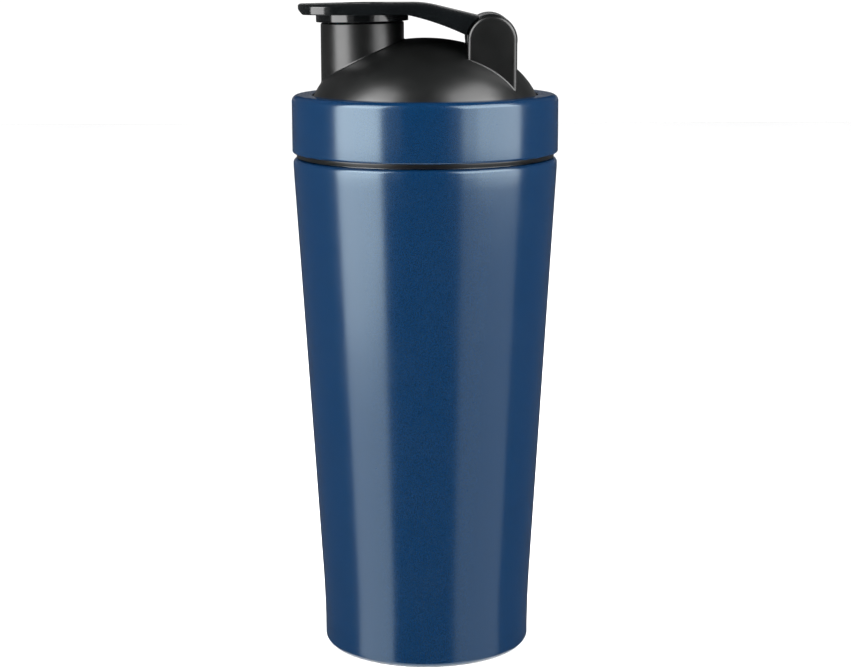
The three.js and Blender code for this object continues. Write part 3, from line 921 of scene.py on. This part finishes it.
def whisk_centres(middle_z, count):
    """Centres of the wire's sections, on a spiral that climbs a sphere from pole to pole."""
    centres = []
    for t in even(0, 1, count):
        polar = math.pi - WHISK_POLE - (math.pi - 2 * WHISK_POLE) * t
        angle = 2 * math.pi * WHISK_TURNS * t
        across = WHISK_R * math.sin(polar)
        height = middle_z + WHISK_R * math.cos(polar)
        centres.append(Vector((across * math.sin(angle), -across * math.cos(angle), height)))
    return centres


def whisk_ball():
    """One steel wire wound as a spiral over a sphere."""
    middle_z = BALL_LOW[2] + WIRE_R + WHISK_R * math.cos(WHISK_POLE)
    middle = Vector((0, 0, middle_z))
    count = 64 * WHISK_TURNS
    centres = whisk_centres(middle_z, count)
    sections = []
    for k, centre in enumerate(centres):
        ahead = (centres[min(k + 1, count)] - centres[max(k - 1, 0)]).normalized()
        side = ahead.cross((centre - middle).normalized()).normalized()
        out = side.cross(ahead)
        ring = []
        for j in range(16):
            angle = 2 * math.pi * j / 16
            ring.append(centre + WIRE_R * (math.cos(angle) * out + math.sin(angle) * side))
        sections.append(ring)
    bm = bmesh.new()
    loft(bm, sections)
    piece = as_object("whisk_wire", bm, math.radians(50))
    return finish_piece(piece, BARE, "bare_steel", "whisk_ball", "whisk_ball")


# ------------------------------------------------------------------ stage

FLOOR_HALF = 2.2
PANEL_DISTANCE = 0.9
BACKDROP_Z = 0.34

# Upright panels that light the bottle: azimuths in degrees, heights in metres, radiance.
PANELS = {
    "left_main": (-80, -37, 0.02, 0.4, 7.9),
    "left_band": (-80, -37, 0.4, 1.0, 11.0),
    "left_high": (-80, -37, 1.0, 1.7, 6.5),
    "left_mid": (-80, -37, -0.15, 0.02, 5.2),
    "left_low": (-80, -37, -0.75, -0.15, 2.1),
    "right_main": (31, 88, 0.0, 0.4, 3.5),
    "right_bright": (44, 86, 0.0, 0.4, 1.6),
    "right_band": (31, 88, 0.4, 1.0, 8.5),
    "right_high": (30, 100, 1.0, 1.8, 6.0),
    "right_low": (31, 88, -0.75, 0.0, 0.8),
    "rim_left": (-160, -84, -0.6, 1.4, 0.09),
    "rim_right": (92, 160, -0.6, 1.4, 0.08),
    "left_soft": (-37, -20, 0.02, 1.0, 0.4),
    "right_soft": (20, 31, 0.0, 1.0, 0.3),
    "flank_left": (-150, -85, -0.1, 1.4, 2.4),
    "flank_right": (90, 150, -0.1, 1.4, 2.4),
}
# Panels that light the surfaces but don't show in them as reflections.
NOT_MIRRORED = ("flank_left", "flank_right")


def floor():
    """A pale matt slab with its top at height 0."""
    bm = bmesh.new()
    corners = [(-1, -1), (1, -1), (1, 1), (-1, 1)]
    loft(bm, [[(FLOOR_HALF * x, FLOOR_HALF * y, z) for x, y in corners] for z in (-0.012, -0.002)])
    piece = as_object("floor", bm)
    piece.location.z = 0.002
    material, nodes, links, shader = new_material("floor_pale")
    tone = ramp(nodes, links, noise(nodes, links, 3), (0.86, 0.86, 0.86), (0.9, 0.9, 0.9))
    links.new(tone, shader.inputs["Base Color"])
    shader.inputs["Roughness"].default_value = 0.9
    piece.data.materials.append(material)
    piece.visible_glossy = False


def area_light(name, place, target, width, height, radiance):
    """A rectangular light that faces a point, with its brightness as radiance."""
    light = bpy.data.lights.new(name, "AREA")
    light.shape = "RECTANGLE"
    light.size = width
    light.size_y = height
    light.energy = math.pi * width * height * radiance
    lamp = bpy.data.objects.new(name, light)
    lamp.location = place
    lamp.rotation_euler = (Vector(target) - lamp.location).to_track_quat("-Z", "Y").to_euler()
    lamp.visible_camera = False
    bpy.context.collection.objects.link(lamp)
    return lamp


def side_panel(name, first, last, low, high, radiance):
    """An upright panel between two azimuths; azimuth 0 is the camera's side, + to the right."""
    middle = math.radians((first + last) / 2)
    width = 2 * PANEL_DISTANCE * math.tan(math.radians(last - first) / 2)
    height = (low + high) / 2
    place = (PANEL_DISTANCE * math.sin(middle), -PANEL_DISTANCE * math.cos(middle), height)
    return area_light(name, place, (0, 0, height), width, high - low, radiance)


def lights():
    """The panels, a light from below for the paint's lower edges, the backdrop and the ceiling."""
    for name, values in PANELS.items():
        panel = side_panel(name, *values)
        panel.visible_glossy = name not in NOT_MIRRORED
    area_light("under", (0, 0, -0.3), (0, 0, 1), 0.6, 0.6, 2.2)
    area_light("backdrop", (0, 2.2, BACKDROP_Z), (0, 0, BACKDROP_Z), 2.4, 0.09, 0.5)
    over = area_light("overhead", (0, 0.8, 2.5), (0, 0.8, 0), 5, 5, 2.1)
    over.visible_glossy = False


def room():
    """A white backdrop for the camera and a dim room for everything else."""
    world = bpy.data.worlds.new("studio")
    bpy.context.scene.world = world
    world.use_nodes = True
    nodes, links = world.node_tree.nodes, world.node_tree.links
    dim = nodes["Background"]
    dim.inputs["Color"].default_value = (0.9, 0.95, 1.0, 1)
    dim.inputs["Strength"].default_value = 0.02
    pale = nodes.new("ShaderNodeBackground")
    pale.inputs["Color"].default_value = (1, 1, 1, 1)
    pale.inputs["Strength"].default_value = 1.1
    path = nodes.new("ShaderNodeLightPath")
    mix = nodes.new("ShaderNodeMixShader")
    links.new(path.outputs["Is Camera Ray"], mix.inputs["Fac"])
    links.new(dim.outputs["Background"], mix.inputs[1])
    links.new(pale.outputs["Background"], mix.inputs[2])
    links.new(mix.outputs["Shader"], nodes["World Output"].inputs["Surface"])


def camera():
    """A camera nearly level with the top of the cap, looking slightly down."""
    pitch, roll = 0.1875, -0.0029
    data = bpy.data.cameras.new("camera")
    data.lens = 84.57
    data.sensor_width = 36
    eye = bpy.data.objects.new("camera", data)
    turn = Matrix.Rotation(math.pi / 2 - pitch, 4, "X") @ Matrix.Rotation(roll, 4, "Z")
    eye.matrix_world = Matrix.Translation((-0.00007, -0.67885, 0.23709)) @ turn
    bpy.context.collection.objects.link(eye)
    bpy.context.scene.camera = eye


# ------------------------------------------------------------------ build

cup_outer_shell()
base_disc()
cup_liner()
collar_ring()
lid_body()
lid_threads()
spout()
ears()
lid_gasket()
hinge_pin()
flip_cap()
spout_plug()
whisk_ball()
floor()
lights()
room()
camera()
bpy.context.scene.view_settings.view_transform = "Standard"
